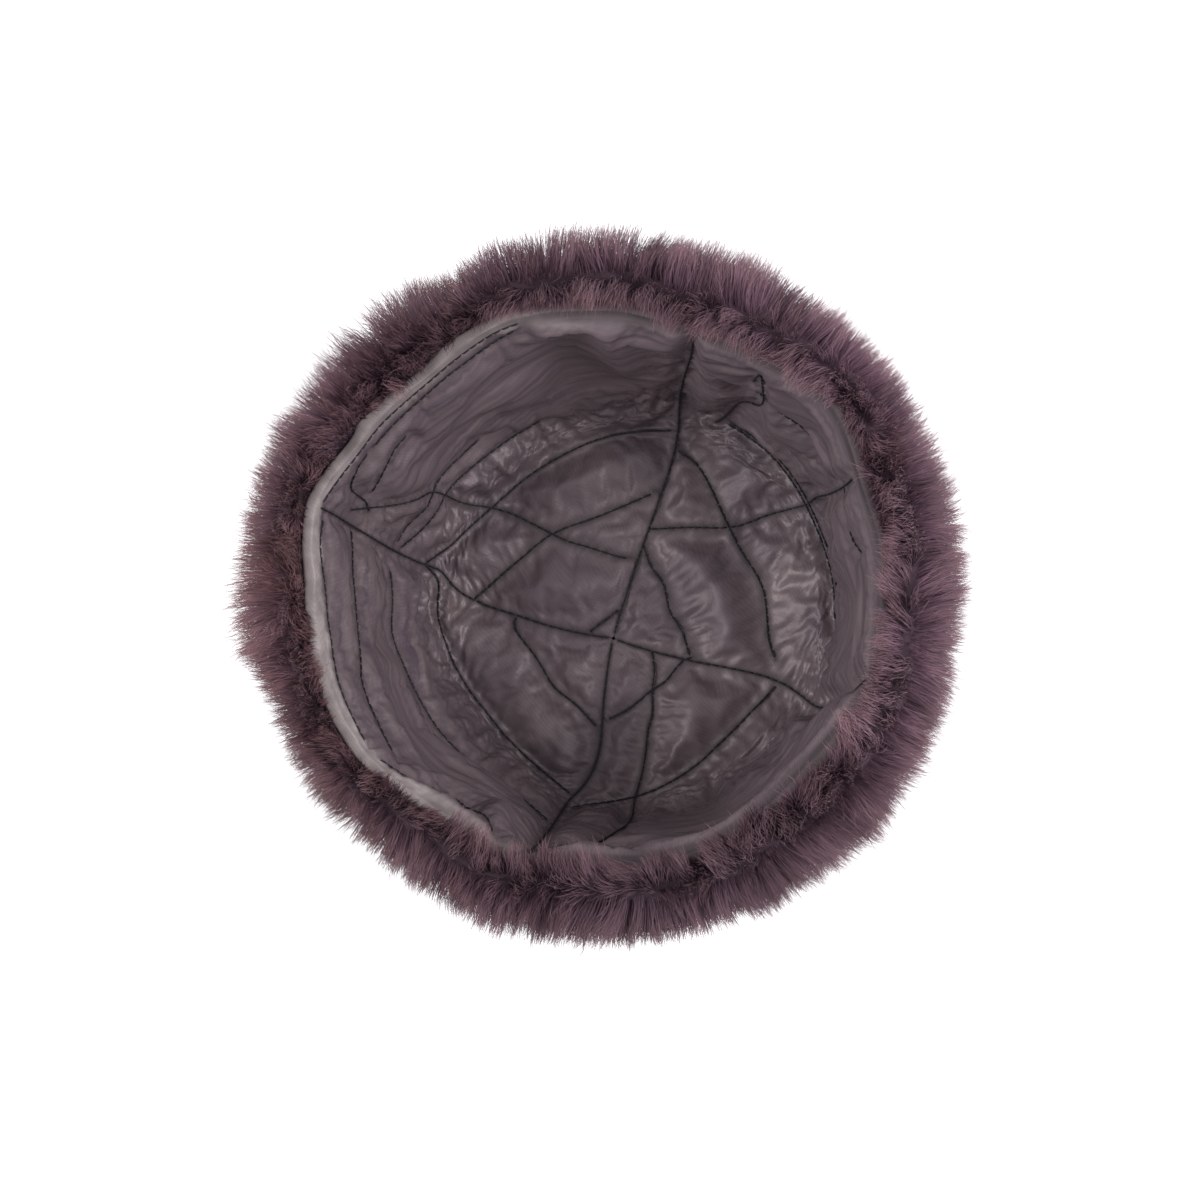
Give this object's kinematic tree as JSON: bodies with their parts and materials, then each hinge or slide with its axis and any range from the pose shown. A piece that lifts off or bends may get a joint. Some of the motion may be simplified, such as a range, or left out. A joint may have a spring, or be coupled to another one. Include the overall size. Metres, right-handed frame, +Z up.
{
  "type": "round fur hat",
  "caption": "Round fur hat lying on its crown with the opening up: fur pelts over a deep bowl, lined with quilted satin gores sewn from crown to rim",
  "frame": {"origin": "middle of the flat face of fur on the crown, which the hat lies on", "axes": "+Z up out of the opening, away from the crown; +X to the wearer's side that the picture shows at the right, +Y towards its top edge; the front is towards -Y"},
  "size_m": [0.2355, 0.2297, 0.1306],
  "materials": {
    "satin": "quilted satin on thin wadding, dark taupe",
    "fur_side": "deep plush fur, dark reddish brown",
    "fur_crown": "deep plush fur, dark reddish brown, pressed where the hat lies on it"
  },
  "bodies": {
    "root": {"lining_gore_back_left": "satin", "lining_gore_front_left": "satin", "lining_gore_front_right": "satin", "lining_gore_back_right": "satin", "pelt_side_left": "fur_side", "pelt_side_right": "fur_side", "pelt_crown": "fur_crown"}
  },
  "joints": []
}
